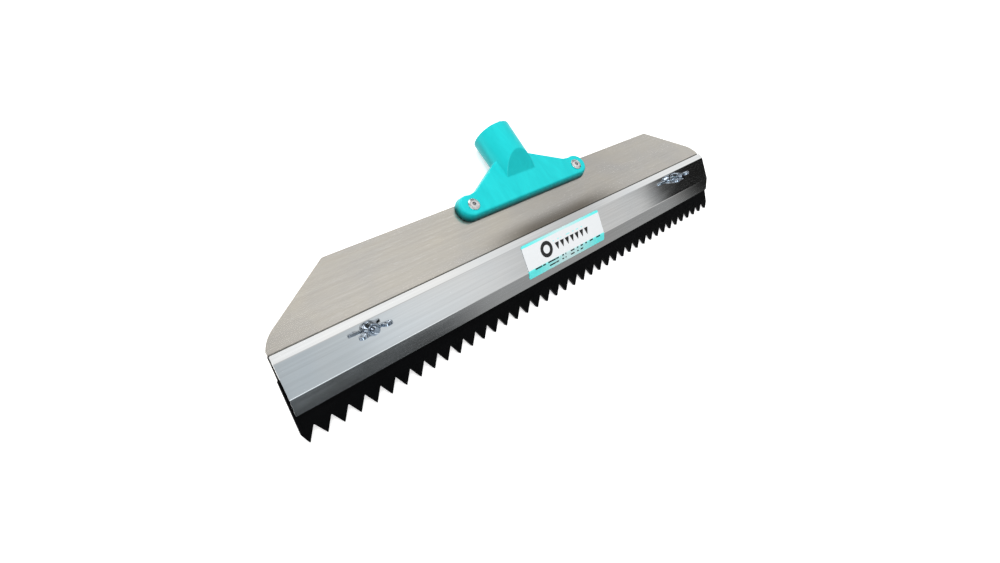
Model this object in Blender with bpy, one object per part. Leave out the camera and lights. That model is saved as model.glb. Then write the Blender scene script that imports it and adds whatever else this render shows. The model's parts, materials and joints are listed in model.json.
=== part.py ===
"""Notched floor squeegee, 450 mm wide, built as an assembly of separate pieces.

A bent stainless plate carries a riveted plastic handle socket at its back edge. Its front
edge turns down into a flange. A toothed rubber blade lies on the flange, under a folded
clamp plate that two carriage bolts with wing nuts pull down.

The pieces are modelled in the plate's own frame: x along the blade, y from the front fold
to the back edge, z out of the plate's top face, with the back edge at y = 0. The empty
tool_frame then lays the whole tool down on its teeth and on the rim of its socket.
"""

import math

import bmesh
import bpy
from mathutils import Matrix, Vector

MM = 0.001
GAP = 0.3 * MM

# Sheet metal
SHEET = 1.2 * MM
BEND_RADIUS = 2.2 * MM
BEND_STEPS = 5

# Body plate
BACK_HALF = 170.6 * MM
SIDE_CORNER = (221.0 * MM, 33.0 * MM)
FOLD_HALF = 225.0 * MM
PLATE_DEPTH = 41.9 * MM
BACK_CORNER_RADIUS = 4.5 * MM
SIDE_CORNER_RADIUS = 24.0 * MM
FLANGE_HALF = 224.3 * MM
FLANGE_LENGTH = 36.5 * MM
FLANGE_SLOPE = 31.8

# Clamp plate: a top lip over the fold, a face, and a lower lip that grips the blade
CLAMP_HALF = 224.5 * MM
CLAMP_SHIFT = 0.6 * MM
CLAMP_BACK = (-42.9 * MM, 1.25 * MM)
TOP_LIP = (5.3 * MM, 1.5)
FACE = (21.8 * MM, 25.0)
LOWER_LIP = (12.1 * MM, 44.0)

# Toothed blade
BLADE_HALF = 225.0 * MM
BLADE_THICK = 2.5 * MM
BLADE_TOP = 15.5 * MM
BLADE_TIP = 57.5 * MM
TOOTH_COUNT = 41
TOOTH_PITCH = 11.085 * MM
TOOTH_DEPTH = 9.0 * MM
FIRST_TIP = 2.8 * MM
FIRST_RISE = 6.6 * MM
TIP_FLAT = 0.5 * MM
VALLEY_FLAT = 0.6 * MM

# Clamping hardware, M5
BOLT_SPACING = 334.0 * MM
BOLT_DOWN_FACE = 5.3 * MM
BOLT_SLOPE = (FACE[1] + FLANGE_SLOPE) / 2
BOLT_RADIUS = 2.45 * MM
BOLT_END = 11.2 * MM
BOLT_HEAD_RADIUS = 6.0 * MM
BOLT_HEAD_HEIGHT = 2.9 * MM
NECK_SIDE = 5.0 * MM
NECK_HOLE_SIDE = 5.9 * MM
CLAMP_HOLE_RADIUS = 3.0 * MM
WASHER_BASE = 0.45 * MM
WASHER_THICK = 1.0 * MM
WASHER_RADIUS = 5.0 * MM
THREAD_BORE = 2.6 * MM
NUT_BASE = WASHER_BASE + WASHER_THICK + 0.2 * MM
HUB_HEIGHT = 5.8 * MM
HUB_BASE_RADIUS = 4.7 * MM
HUB_TOP_RADIUS = 3.9 * MM
WING_THICK = 2.0 * MM
WING_REACH = 11.3 * MM
WING_TOP = 11.0 * MM
WING_ROUND = 3.0 * MM
NUT_YAW = {"left": 3.0, "right": 9.0}

# Handle socket
SOCKET_BASE = 7.0 * MM
SOCKET_LIFT = 0.1 * MM
LOBE_X = 58.5 * MM
LOBE_Y = -6.4 * MM
LOBE_RADIUS = 8.2 * MM
BASE_DRAFT = 2.4 * MM
WEB_START = (48.5 * MM, 2.0 * MM)
WEB_END = (13.5 * MM, 20.6 * MM)
TUBE_FRONT = 0.5 * MM
TUBE_MOUTH = 45.2 * MM
TUBE_AXIS_Z = 2.6 * MM
TUBE_FRONT_RADIUS = 15.6 * MM
TUBE_MOUTH_RADIUS = 16.3 * MM
TUBE_SIDES = 48
NOSE_Y = 3.6 * MM
NOSE_SLOPE = 37.0
BORE_RADIUS = 12.0 * MM
BORE_DEPTH = 29.5 * MM

# Blind rivets, 4.8 mm
RIVET_X = 56.5 * MM
RIVET_Y = -6.8 * MM
RIVET_HOLE = 2.6 * MM
RIVET_SHANK = 2.4 * MM
RIVET_CORE = 1.45 * MM
RIVET_HEAD = 4.75 * MM
MANDREL_RADIUS = 1.3 * MM

# Label, a film that wraps over the face's lower bend
LABEL_HALF = 45.2 * MM
LABEL_CENTRE = 7.4 * MM
LABEL_THICK = 0.25 * MM
LABEL_AIR = 0.15 * MM
LABEL_START = 0.9 * MM
LABEL_ON_LIP = 6.0 * MM


def clear_scene():
    for obj in list(bpy.data.objects):
        bpy.data.objects.remove(obj, do_unlink=True)


def make_material(name, colour, roughness, metallic):
    material = bpy.data.materials.new(name)
    material.use_nodes = True
    shader = material.node_tree.nodes["Principled BSDF"]
    shader.inputs["Base Color"].default_value = (*colour, 1.0)
    shader.inputs["Roughness"].default_value = roughness
    shader.inputs["Metallic"].default_value = metallic
    return material


def make_empty(name, parent=None, matrix=None):
    empty = bpy.data.objects.new(name, None)
    bpy.context.scene.collection.objects.link(empty)
    empty.parent = parent
    empty.matrix_local = matrix or Matrix.Identity(4)
    return empty


def make_object(name, bm, parent, material=None, smooth=True):
    """Turns a bmesh into an object under parent, with its normals facing out."""
    bmesh.ops.recalc_face_normals(bm, faces=bm.faces)
    mesh = bpy.data.meshes.new(name)
    bm.to_mesh(mesh)
    bm.free()
    if smooth:
        mesh.shade_smooth()
        mesh.set_sharp_from_angle(angle=math.radians(30))
    if material:
        mesh.materials.append(material)
    obj = bpy.data.objects.new(name, mesh)
    bpy.context.scene.collection.objects.link(obj)
    obj.parent = parent
    return obj


def boolean(target, tool, operation):
    """Joins a hidden tool to target, or cuts it away."""
    tool.hide_render = True
    tool.display_type = "WIRE"
    modifier = target.modifiers.new(operation.title(), "BOOLEAN")
    modifier.operation = operation
    modifier.object = tool


def loft(rings, closed=False):
    """A bmesh through rings of equal length: ends capped, or the last ring joined to the first."""
    bm = bmesh.new()
    loops = [[bm.verts.new(point) for point in ring] for ring in rings]
    pairs = list(zip(loops, loops[1:]))
    if closed:
        pairs.append((loops[-1], loops[0]))
    for lower, upper in pairs:
        count = len(lower)
        for i in range(count):
            j = (i + 1) % count
            bm.faces.new((lower[i], lower[j], upper[j], upper[i]))
    if not closed:
        bm.faces.new(reversed(loops[0]))
        bm.faces.new(loops[-1])
    return bm


def ring(radius, height, sides):
    """Points of a circle about Z."""
    turns = [2 * math.pi * i / sides for i in range(sides)]
    return [Vector((radius * math.cos(a), radius * math.sin(a), height)) for a in turns]


def square_ring(side, height, sides):
    """Points of a square about Z, at the same angles as ring's, so the two can be lofted."""
    points = []
    for point in ring(1.0, 0.0, sides):
        reach = side / 2 / max(abs(point.x), abs(point.y))
        points.append(Vector((point.x * reach, point.y * reach, height)))
    return points


def rounded(corners, radii, steps):
    """A polyline with its inner corners turned into arcs."""
    points = [Vector(corners[0])]
    for before, corner, after, radius in zip(corners, corners[1:], corners[2:], radii):
        corner = Vector(corner)
        to_before = (Vector(before) - corner).normalized()
        to_after = (Vector(after) - corner).normalized()
        half = to_before.angle(to_after) / 2
        centre = corner + (to_before + to_after).normalized() * radius / math.sin(half)
        first = corner + to_before * radius / math.tan(half) - centre
        last = corner + to_after * radius / math.tan(half) - centre
        for i in range(steps + 1):
            points.append(centre + first.slerp(last, i / steps) * radius)
    points.append(Vector(corners[-1]))
    return points


def downhill(slope):
    """Unit vector towards the teeth, down a surface of this slope in degrees."""
    angle = math.radians(slope)
    return Vector((0.0, -math.cos(angle), -math.sin(angle)))


def outward(slope):
    """Unit normal of a surface of this slope."""
    angle = math.radians(slope)
    return Vector((0.0, -math.sin(angle), math.cos(angle)))


class Fold:
    """A folded sheet's outer surface in section: straight runs joined by bends."""

    def __init__(self, start, runs, radius):
        self.pieces = []
        self.marks = [0.0]
        point = Vector((0.0, *start))
        travelled = 0.0
        trim = 0.0
        for i, (length, slope) in enumerate(runs):
            last = i == len(runs) - 1
            turn = 0.0 if last else math.radians(runs[i + 1][1] - slope)
            next_trim = radius * math.tan(turn / 2)
            straight = length - trim - next_trim
            self.pieces.append((travelled, straight, point, slope, None))
            point = point + downhill(slope) * straight
            travelled += straight
            self.marks.append(travelled)
            if not last:
                self.pieces.append((travelled, radius * turn, point, slope, radius))
                step = radius * turn / BEND_STEPS
                self.marks += [travelled + step * (k + 1) for k in range(BEND_STEPS)]
                centre = point - outward(slope) * radius
                point = centre + outward(runs[i + 1][1]) * radius
                travelled += radius * turn
            trim = next_trim
        self.length = travelled

    def at(self, travelled):
        """The surface point and its slope at a distance along the sheet."""
        for start, length, point, slope, radius in self.pieces:
            if travelled <= start + length + 1e-9:
                break
        if radius is None:
            return point + downhill(slope) * (travelled - start), slope
        turned = slope + math.degrees((travelled - start) / radius)
        return point + (outward(turned) - outward(slope)) * radius, turned


def sheet_rings(fold, stations, thickness, centre_x=0.0):
    """Section rings of a sheet; stations are (distance along it, half width) pairs."""
    rings = []
    for travelled, half in stations:
        outer, slope = fold.at(travelled)
        inner = outer - outward(slope) * thickness
        rings.append(
            [
                Vector((centre_x + side * half, surface.y, surface.z))
                for side, surface in ((-1, outer), (1, outer), (1, inner), (-1, inner))
            ]
        )
    return rings


def body_fold():
    runs = [(PLATE_DEPTH, 0.0), (FLANGE_LENGTH, FLANGE_SLOPE)]
    return Fold((0.0, 0.0), runs, BEND_RADIUS)


def clamp_fold():
    return Fold(CLAMP_BACK, [TOP_LIP, FACE, LOWER_LIP], BEND_RADIUS)


def on_flange(down, height):
    """A point at this distance down the flange and this height over it."""
    fold_line = Vector((0.0, -PLATE_DEPTH, 0.0))
    return fold_line + downhill(FLANGE_SLOPE) * down + outward(FLANGE_SLOPE) * height


def face_point(down):
    """A point on the clamp's face, at this distance from its upper edge."""
    start = Vector((0.0, *CLAMP_BACK)) + downhill(TOP_LIP[1]) * TOP_LIP[0]
    return start + downhill(FACE[1]) * down


def bolt_frame(side):
    """The frame of a bolt: z out along it, from the clamp's face, and x along the tool."""
    place = face_point(BOLT_DOWN_FACE)
    place.x = side * BOLT_SPACING / 2
    z_axis = outward(BOLT_SLOPE)
    x_axis = Vector((1.0, 0.0, 0.0))
    turn = Matrix((x_axis, z_axis.cross(x_axis), z_axis)).transposed().to_4x4()
    return Matrix.Translation(place) @ turn


def rest_matrix():
    """Lays the tool on the blade's rear tooth tips and on the bottom of the socket's rim."""
    blade_rear = on_flange(BLADE_TIP, GAP)
    rim_bottom = Vector((0.0, TUBE_MOUTH, TUBE_AXIS_Z - TUBE_MOUTH_RADIUS))
    span = rim_bottom - blade_rear
    turn = Matrix.Rotation(-math.atan2(span.z, span.y), 4, "X")
    front = turn @ on_flange(BLADE_TIP, GAP + BLADE_THICK)
    rim_top = turn @ Vector((0.0, TUBE_MOUTH, TUBE_AXIS_Z + TUBE_MOUTH_RADIUS))
    shift = Vector((0.0, -(front.y + rim_top.y) / 2, -(turn @ blade_rear).z))
    return Matrix.Translation(shift) @ turn


def cylinder_tool(name, radius, low, high, parent, place, sides=24):
    tool = make_object(name, loft([ring(radius, low, sides), ring(radius, high, sides)]), parent)
    tool.matrix_local = place
    return tool


def body_plate(frame, material):
    fold = body_fold()
    corners = [(0.0, 0.0), (BACK_HALF, 0.0), SIDE_CORNER, (FOLD_HALF, PLATE_DEPTH)]
    outline = rounded(corners, (BACK_CORNER_RADIUS, SIDE_CORNER_RADIUS), 8)
    bend_start = fold.marks[1]
    stations = [(p.y, p.x) for p in outline[1:] if p.y < bend_start]
    fold_half = stations[-1][1]
    stations += [(mark, fold_half) for mark in fold.marks[1:-1]]
    stations += [(fold.marks[-2] + GAP, FLANGE_HALF), (fold.marks[-1], FLANGE_HALF)]
    body = make_object("body_plate", loft(sheet_rings(fold, stations, SHEET)), frame, material)
    for side in (-1, 1):
        place = Matrix.Translation((side * RIVET_X, RIVET_Y, 0.0))
        tool = cylinder_tool("rivet_hole", RIVET_HOLE, -5 * MM, 5 * MM, frame, place)
        boolean(body, tool, "DIFFERENCE")
        rings = [square_ring(NECK_HOLE_SIDE, z, 8) for z in (-14 * MM, 0.0)]
        tool = make_object("neck_hole", loft(rings), frame)
        tool.matrix_local = bolt_frame(side)
        boolean(body, tool, "DIFFERENCE")
    return body


def clamp_plate(carrier, material):
    fold = clamp_fold()
    stations = [(mark, CLAMP_HALF) for mark in fold.marks]
    rings = sheet_rings(fold, stations, SHEET, CLAMP_SHIFT)
    clamp = make_object("clamp_plate", loft(rings), carrier, material)
    for side in (-1, 1):
        tool = cylinder_tool(
            "bolt_hole", CLAMP_HOLE_RADIUS, -4 * MM, 4 * MM, carrier, bolt_frame(side)
        )
        boolean(clamp, tool, "DIFFERENCE")
    return clamp


def toothed_blade(carrier, material):
    """The blade in columns from its top edge to its toothed edge."""
    pitch_half = TOOTH_PITCH / 2
    start = -BLADE_HALF
    columns = [(start, FIRST_RISE)]
    for i in range(TOOTH_COUNT):
        tip = start + FIRST_TIP + i * TOOTH_PITCH
        columns += [(tip - TIP_FLAT / 2, 0.0), (tip + TIP_FLAT / 2, 0.0)]
        valley = tip + pitch_half
        if i < TOOTH_COUNT - 1:
            columns += [(valley + side * VALLEY_FLAT / 2, TOOTH_DEPTH) for side in (-1, 1)]
    left_over = BLADE_HALF - tip
    columns.append((BLADE_HALF, TOOTH_DEPTH * left_over / pitch_half))
    rings = []
    for x, rise in columns:
        corners = ((BLADE_TOP, 1), (BLADE_TIP - rise, 1), (BLADE_TIP - rise, 0), (BLADE_TOP, 0))
        section = [on_flange(down, GAP + height * BLADE_THICK) for down, height in corners]
        rings.append([Vector((x, point.y, point.z)) for point in section])
    return make_object("toothed_blade", loft(rings), carrier, material, smooth=False)


def label(carrier, material):
    offset = LABEL_AIR + LABEL_THICK
    start = face_point(LABEL_START) + outward(FACE[1]) * offset
    bend = math.radians(LOWER_LIP[1] - FACE[1]) / 2
    face_run = FACE[0] - LABEL_START + offset * math.tan(bend)
    runs = [(face_run, FACE[1]), (LABEL_ON_LIP, LOWER_LIP[1])]
    fold = Fold((start.y, start.z), runs, BEND_RADIUS + offset)
    stations = [(mark, LABEL_HALF) for mark in fold.marks]
    rings = sheet_rings(fold, stations, LABEL_THICK, LABEL_CENTRE)
    return make_object("label", loft(rings), carrier, material)


def base_outline(grow, height):
    """The socket base in plan, from its right lobe round to its left, grown by the draft."""
    lobe = LOBE_RADIUS + grow
    arc_from = math.radians(-90)
    arc_to = math.radians(112)
    steps = 10
    right = []
    for i in range(steps + 1):
        angle = arc_from + (arc_to - arc_from) * i / steps
        right.append((LOBE_X + lobe * math.cos(angle), LOBE_Y + lobe * math.sin(angle)))
    web = grow / 2
    right.append((WEB_START[0] + 2 * MM, WEB_START[1] + web))
    right.append((WEB_START[0] - 1.5 * MM, WEB_START[1] + web + 0.9 * MM))
    right.append((WEB_END[0] + web, WEB_END[1] + web))
    left = [(-x, y) for x, y in reversed(right)]
    return [Vector((x, y, height)) for x, y in right + left]


def handle_socket(frame, material):
    rings = [
        base_outline(BASE_DRAFT, SOCKET_LIFT),
        base_outline(BASE_DRAFT * 0.85, 1.2 * MM),
        base_outline(0.5 * MM, SOCKET_BASE - 0.9 * MM),
        base_outline(-0.4 * MM, SOCKET_BASE),
    ]
    socket = make_object("handle_socket", loft(rings), frame, material)
    along = Matrix.Rotation(math.radians(-90), 4, "X")
    axis = Matrix.Translation((0.0, 0.0, TUBE_AXIS_Z)) @ along
    rings = [
        ring(TUBE_FRONT_RADIUS - 1.5 * MM, TUBE_FRONT, TUBE_SIDES),
        ring(TUBE_FRONT_RADIUS, TUBE_FRONT + 1.5 * MM, TUBE_SIDES),
        ring(TUBE_MOUTH_RADIUS, TUBE_MOUTH, TUBE_SIDES),
    ]
    tube = make_object("socket_tube", loft(rings), frame)
    tube.matrix_local = axis
    nose = make_object("socket_nose", loft([square_ring(0.12, z, 8) for z in (0.0, 0.06)]), frame)
    lean = Matrix.Rotation(math.radians(NOSE_SLOPE), 4, "X")
    nose.matrix_local = Matrix.Translation((0.0, NOSE_Y, SOCKET_BASE)) @ lean
    boolean(tube, nose, "DIFFERENCE")
    boolean(socket, tube, "UNION")
    mouth = TUBE_MOUTH + 5 * MM
    bore = cylinder_tool(
        "socket_bore", BORE_RADIUS, TUBE_MOUTH - BORE_DEPTH, mouth, frame, axis, TUBE_SIDES
    )
    boolean(socket, bore, "DIFFERENCE")
    for side in (-1, 1):
        place = Matrix.Translation((side * RIVET_X, RIVET_Y, 0.0))
        tool = cylinder_tool("base_hole", RIVET_HOLE, -2 * MM, 12 * MM, frame, place)
        boolean(socket, tool, "DIFFERENCE")
    return socket


def rivet(name, side, frame, shell, steel):
    """A set blind rivet, and the mandrel that stays in it."""
    top = SOCKET_BASE + 0.1 * MM
    under = -SHEET - 0.1 * MM
    profile = [
        (RIVET_CORE, top + 1.25 * MM),
        (RIVET_HEAD * 0.62, top + 1.15 * MM),
        (RIVET_HEAD * 0.88, top + 0.7 * MM),
        (RIVET_HEAD, top),
        (RIVET_SHANK, top),
        (RIVET_SHANK, under),
        (RIVET_SHANK * 1.45, under - 0.4 * MM),
        (RIVET_SHANK * 1.5, under - 1.8 * MM),
        (RIVET_SHANK * 1.15, under - 3.2 * MM),
        (RIVET_CORE, under - 3.6 * MM),
    ]
    bm = loft([ring(radius, height, 24) for radius, height in profile], closed=True)
    body = make_object(f"rivet_body_{name}", bm, frame, shell)
    low = under - 3.8 * MM
    profile = [
        (1.1 * MM, low - 1.9 * MM),
        (2.1 * MM, low - 1.3 * MM),
        (2.1 * MM, low - 0.4 * MM),
        (MANDREL_RADIUS, low),
        (MANDREL_RADIUS, top - 0.3 * MM),
        (MANDREL_RADIUS * 0.7, top),
    ]
    bm = loft([ring(radius, height, 16) for radius, height in profile])
    stub = make_object(f"rivet_mandrel_{name}", bm, frame, steel)
    for obj in (body, stub):
        obj.location = (side * RIVET_X, RIVET_Y, 0.0)


def clamp_bolt(name, side, frame, material):
    """A carriage bolt: domed head behind the flange, square neck in it, plain shank."""
    over_flange = (face_point(BOLT_DOWN_FACE) - on_flange(0, 0)).dot(outward(FLANGE_SLOPE))
    behind = -over_flange - SHEET - 0.55 * MM
    sides = 24
    rings = [
        ring(BOLT_HEAD_RADIUS * 0.35, behind - BOLT_HEAD_HEIGHT, sides),
        ring(BOLT_HEAD_RADIUS * 0.72, behind - BOLT_HEAD_HEIGHT * 0.82, sides),
        ring(BOLT_HEAD_RADIUS * 0.94, behind - BOLT_HEAD_HEIGHT * 0.45, sides),
        ring(BOLT_HEAD_RADIUS, behind - 0.3 * MM, sides),
        ring(BOLT_HEAD_RADIUS, behind, sides),
        square_ring(NECK_SIDE, behind, sides),
        square_ring(NECK_SIDE, behind + 2.4 * MM, sides),
        ring(BOLT_RADIUS, behind + 2.5 * MM, sides),
        ring(BOLT_RADIUS, BOLT_END - 0.6 * MM, sides),
        ring(BOLT_RADIUS - 0.6 * MM, BOLT_END, sides),
    ]
    bolt = make_object(f"clamp_bolt_{name}", loft(rings), frame, material)
    bolt.matrix_local = bolt_frame(side)


def flat_washer(name, side, carrier, material):
    low = WASHER_BASE
    high = WASHER_BASE + WASHER_THICK
    bore = THREAD_BORE + 0.1 * MM
    profile = [(bore, low), (bore, high), (WASHER_RADIUS, high), (WASHER_RADIUS, low)]
    bm = loft([ring(radius, height, 24) for radius, height in profile], closed=True)
    washer = make_object(f"flat_washer_{name}", bm, carrier, material)
    washer.matrix_local = bolt_frame(side)


def wing_outline():
    """One wing in (reach, height), from the hub's foot out, round its ear and back."""
    ear = Vector((WING_REACH - WING_ROUND, WING_TOP - WING_ROUND))
    points = [(3.3 * MM, 1.0 * MM), (5.6 * MM, 1.9 * MM)]
    for i in range(9):
        angle = math.radians(-50 + 205 * i / 8)
        points.append((ear.x + WING_ROUND * math.cos(angle), ear.y + WING_ROUND * math.sin(angle)))
    points += [(5.0 * MM, HUB_HEIGHT - 0.1 * MM), (3.3 * MM, HUB_HEIGHT - 0.4 * MM)]
    return points


def wing_nut(name, spin, material):
    """A hub with two upswept wings, bored for the bolt; spin is the empty on its axis."""
    sides = 24
    rings = [
        ring(HUB_BASE_RADIUS - 0.3 * MM, 0.0, sides),
        ring(HUB_BASE_RADIUS, 0.4 * MM, sides),
        ring(HUB_TOP_RADIUS, HUB_HEIGHT - 0.4 * MM, sides),
        ring(HUB_TOP_RADIUS - 0.4 * MM, HUB_HEIGHT, sides),
    ]
    nut = make_object(f"wing_nut_{name}", loft(rings), spin, material)
    half = WING_THICK / 2
    for side in (-1, 1):
        rings = [[Vector((side * x, y, z)) for x, z in wing_outline()] for y in (-half, half)]
        boolean(nut, make_object("wing", loft(rings), spin), "UNION")
    tool = cylinder_tool("nut_bore", THREAD_BORE, -1 * MM, 9 * MM, spin, Matrix.Identity(4))
    boolean(nut, tool, "DIFFERENCE")


def main():
    clear_scene()
    stainless = make_material("stainless", (0.62, 0.60, 0.56), 0.32, 1.0)
    rubber = make_material("black_rubber", (0.012, 0.012, 0.014), 0.65, 0.0)
    teal = make_material("teal_plastic", (0.02, 0.58, 0.60), 0.38, 0.0)
    zinc = make_material("zinc_plate", (0.66, 0.72, 0.80), 0.22, 1.0)
    aluminium = make_material("rivet_aluminium", (0.78, 0.78, 0.78), 0.30, 1.0)
    film = make_material("label_film", (0.90, 0.93, 0.93), 0.25, 0.0)

    frame = make_empty("tool_frame", matrix=rest_matrix())
    clamp_slide = make_empty("clamp_slide", frame)
    blade_slide = make_empty("blade_slide", frame)

    body_plate(frame, stainless)
    handle_socket(frame, teal)
    clamp_plate(clamp_slide, stainless)
    label(clamp_slide, film)
    toothed_blade(blade_slide, rubber)
    for name, side in (("left", -1), ("right", 1)):
        rivet(name, side, frame, aluminium, zinc)
        clamp_bolt(name, side, frame, zinc)
        flat_washer(name, side, clamp_slide, zinc)
        lift = Matrix.Translation((0.0, 0.0, NUT_BASE))
        yaw = Matrix.Rotation(math.radians(NUT_YAW[name]), 4, "Z")
        spin = make_empty(f"nut_spin_{name}", clamp_slide, bolt_frame(side) @ lift @ yaw)
        wing_nut(name, spin, zinc)


main()
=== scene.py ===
"""Looks for the notched floor squeegee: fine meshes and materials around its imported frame.

The pieces are modelled in the plate's own frame, as the CAD is: x along the blade, y from the
front fold to the back edge, z out of the plate's top face. PLATE lays that frame down in the
row frame, and every mesh is stored in row coordinates, with its object at the origin.
"""

import json
import math
import random

import bmesh
import bpy
from mathutils import Matrix, Vector


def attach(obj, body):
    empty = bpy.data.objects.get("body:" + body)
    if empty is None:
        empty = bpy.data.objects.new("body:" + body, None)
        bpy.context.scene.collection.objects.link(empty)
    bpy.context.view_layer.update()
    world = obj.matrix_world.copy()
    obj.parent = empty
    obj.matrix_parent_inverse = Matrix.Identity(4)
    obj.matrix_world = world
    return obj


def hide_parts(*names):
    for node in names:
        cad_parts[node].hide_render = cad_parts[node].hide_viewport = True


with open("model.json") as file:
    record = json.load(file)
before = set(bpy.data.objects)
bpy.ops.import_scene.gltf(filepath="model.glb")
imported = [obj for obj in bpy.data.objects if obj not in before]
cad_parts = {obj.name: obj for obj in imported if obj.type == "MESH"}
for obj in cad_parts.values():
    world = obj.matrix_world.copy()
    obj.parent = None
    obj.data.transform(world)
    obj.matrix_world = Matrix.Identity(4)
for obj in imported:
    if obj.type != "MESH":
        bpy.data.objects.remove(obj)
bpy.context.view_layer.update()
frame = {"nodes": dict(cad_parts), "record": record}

MM = 0.001
GAP = 0.3 * MM

# Sheet metal
SHEET = 1.2 * MM
BEND_RADIUS = 2.2 * MM
BEND_STEPS = 10
BEND_HOLD = 0.03 * MM
SHEET_EDGE = 0.12 * MM
CLAMP_EDGE = 0.4 * MM
CORNER_STEPS = 5
SHARP_ANGLE = math.radians(35)

# Body plate
BACK_HALF = 170.6 * MM
SIDE_CORNER = (221.0 * MM, 33.0 * MM)
FOLD_HALF = 225.0 * MM
PLATE_DEPTH = 41.9 * MM
BACK_CORNER_RADIUS = 4.5 * MM
SIDE_CORNER_RADIUS = 24.0 * MM
FLANGE_HALF = 224.3 * MM
FLANGE_LENGTH = 36.5 * MM
FLANGE_SLOPE = 31.8

# Clamp plate
CLAMP_HALF = 224.5 * MM
CLAMP_SHIFT = 0.6 * MM
CLAMP_BACK = (-42.9 * MM, 1.25 * MM)
TOP_LIP = (5.3 * MM, 1.5)
FACE = (21.8 * MM, 25.0)
LOWER_LIP = (12.1 * MM, 44.0)
CLAMP_CORNER = 1.0 * MM

# Toothed blade
BLADE_HALF = 225.0 * MM
BLADE_THICK = 2.5 * MM
BLADE_TOP = 15.5 * MM
BLADE_TIP = 57.5 * MM
TOOTH_COUNT = 41
TOOTH_PITCH = 11.085 * MM
TOOTH_DEPTH = 9.0 * MM
FIRST_TIP = 2.8 * MM
FIRST_RISE = 6.6 * MM
TIP_RADIUS = 0.35 * MM
VALLEY_RADIUS = 0.4 * MM
TOOTH_ARC_STEPS = 6
TOOTH_LEAN = 0.10 * MM
TOOTH_WEAR = 0.16 * MM
BLADE_EDGE = 0.1 * MM

# Clamping hardware, M5
BOLT_SPACING = 334.0 * MM
BOLT_DOWN_FACE = 5.3 * MM
BOLT_SLOPE = (FACE[1] + FLANGE_SLOPE) / 2
BOLT_RADIUS = 2.45 * MM
BOLT_END = 11.2 * MM
BOLT_HEAD_RADIUS = 6.0 * MM
BOLT_HEAD_HEIGHT = 2.9 * MM
NECK_SIDE = 5.0 * MM
NECK_HOLE_SIDE = 5.9 * MM
NECK_LENGTH = 2.4 * MM
THREAD_PITCH = 0.8 * MM
THREAD_DEPTH = 0.42 * MM
THREAD_RINGS_PER_TURN = 10
BOLT_CHAMFER = 0.6 * MM
BOLT_BEHIND_FLANGE = 0.55 * MM
CLAMP_HOLE_RADIUS = 3.0 * MM
WASHER_BASE = 0.45 * MM
WASHER_THICK = 1.0 * MM
WASHER_RADIUS = 5.0 * MM
THREAD_BORE = 2.6 * MM
NUT_BASE = WASHER_BASE + WASHER_THICK + 0.2 * MM
HUB_HEIGHT = 5.8 * MM
HUB_BASE_RADIUS = 4.7 * MM
HUB_TOP_RADIUS = 3.9 * MM
WING_THICK = 2.0 * MM
WING_REACH = 11.3 * MM
WING_TOP = 11.0 * MM
WING_ROUND = 3.0 * MM
EAR_DISH_RADIUS = 5.0 * MM
EAR_DISH_DEPTH = 0.45 * MM
NUT_YAW = {"left": 3.0, "right": 9.0}
NUT_VOXEL = 0.15 * MM

# Handle socket
SOCKET_BASE = 7.0 * MM
SOCKET_LIFT = 0.1 * MM
LOBE_X = 58.5 * MM
LOBE_Y = -6.4 * MM
LOBE_RADIUS = 8.2 * MM
LOBE_SWEEP = 202
LOBE_STEPS = 28
BASE_DRAFT = 2.4 * MM
WEB_START = (48.5 * MM, 2.0 * MM)
WEB_END = (13.5 * MM, 20.6 * MM)
TUBE_FRONT = 0.5 * MM
TUBE_MOUTH = 45.2 * MM
TUBE_AXIS_Z = 2.6 * MM
TUBE_FRONT_RADIUS = 15.6 * MM
TUBE_MOUTH_RADIUS = 16.3 * MM
NOSE_Y = 3.6 * MM
NOSE_SLOPE = 37.0
BORE_RADIUS = 12.0 * MM
BORE_DEPTH = 29.5 * MM
BORE_LEAD_IN = 1.0 * MM
WEB_FALL = (1.5 * MM, 2.0)
SOCKET_VOXEL = 0.42 * MM

# Blind rivets, 4.8 mm
RIVET_X = 56.5 * MM
RIVET_Y = -6.8 * MM
RIVET_HOLE = 2.6 * MM
RIVET_SHANK = 2.4 * MM
RIVET_CORE = 1.45 * MM
RIVET_HEAD = 4.75 * MM
RIVET_TOP = SOCKET_BASE + 0.1 * MM
RIVET_UNDER = -SHEET - 0.1 * MM
MANDREL_RADIUS = 1.3 * MM

# Label
LABEL_HALF = 45.2 * MM
LABEL_CENTRE = 7.4 * MM
LABEL_THICK = 0.25 * MM
LABEL_AIR = 0.15 * MM
LABEL_START = 0.9 * MM
LABEL_ON_LIP = 6.0 * MM
LABEL_CORNER = 1.6 * MM

# Studio
FLOOR_REACH = 12.0
FLOOR_GLOW = 0.55
KEY_PLACE = (-0.35, 0.55, 0.95)
KEY_AIM = (0.0, -0.02, 0.0)
KEY_SIZE = 0.5
KEY_POWER = 6.4
BACKDROP = 0.93

# What the metal mirrors, each as (direction, full within, gone beyond, level), angles in degrees.
# Patches add their level to the tent, panels replace it, and the last panel is a black flag.
PATCHES = (
    ((0.30, 0.40, 0.86), 4.0, 30.0, 0.42),
    ((0.87, 0.17, 0.47), 3.0, 17.0, 0.34),
    ((0.12, -0.56, 0.82), 2.0, 12.0, -0.06),
    ((0.45, -0.46, 0.76), 3.0, 12.0, 0.14),
)
PANELS = (
    ((-0.45, 0.10, 0.88), 11.0, 14.0, 5.0),
    ((0.10, 0.85, 0.50), 9.0, 12.0, 4.0),
    ((-0.70, -0.60, 0.40), 8.0, 11.0, 3.5),
    ((0.90, -0.20, 0.33), 12.5, 15.5, 0.012),
)

# Camera: where it stands, where it looks, its roll in degrees and its lens in millimetres
CAMERA_PLACE = (-0.26582, -0.05619, 0.32209)
CAMERA_AIM = (-0.06172, -0.03993, 0.015)
CAMERA_ROLL = 56.9171
CAMERA_LENS = 18.0864


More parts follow.
